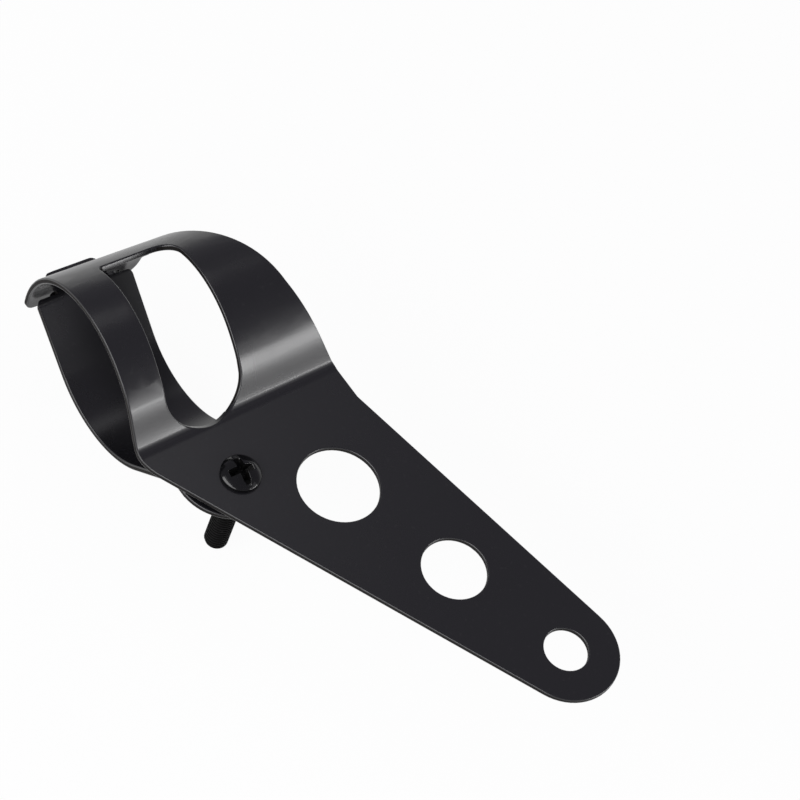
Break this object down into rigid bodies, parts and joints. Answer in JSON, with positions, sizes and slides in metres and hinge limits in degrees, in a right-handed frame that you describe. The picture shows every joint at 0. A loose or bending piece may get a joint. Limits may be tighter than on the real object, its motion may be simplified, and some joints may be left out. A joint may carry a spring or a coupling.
{
  "type": "headlight mounting bracket",
  "caption": "Black sheet-steel fork-clamp bracket: tapered arm with round holes, arched clamp half with a window, hooked strap, screw and nut.",
  "frame": {"origin": "fork axis, in the middle of the clamp's strap", "axes": "+Y along the fork tube, +Z square to the arm's flat outer face, +X from the fork towards the lamp end"},
  "size_m": [0.1586, 0.0728, 0.048],
  "materials": {
    "black_paint": "satin",
    "black_steel": "semi-gloss"
  },
  "bodies": {
    "arm": {"arm_plate": "black_paint"},
    "strap": {"clamp_strap": "black_paint"},
    "screw": {"clamp_screw": "black_steel"},
    "nut": {"hex_nut": "black_steel"}
  },
  "joints": [
    {"name": "strap_swing", "type": "hinge", "parent": "arm", "child": "strap", "pos_m": [-0.02403, 0, 0.0006], "axis": [0, 1, 0], "range_deg": [-0.5, 8]},
    {"name": "screw_turn", "type": "hinge", "parent": "arm", "child": "screw", "pos_m": [0.0421, 0, 0.0077], "axis": [0, 0, 1], "continuous": true},
    {"name": "nut_travel", "type": "slide", "parent": "screw", "child": "nut", "axis": [0, 0, -1], "range_m": [-0.0007, 0.0104]}
  ],
  "couplings": [
    {"joint": "nut_travel", "follows": "strap_swing", "m_per_rad": 0.073}
  ]
}
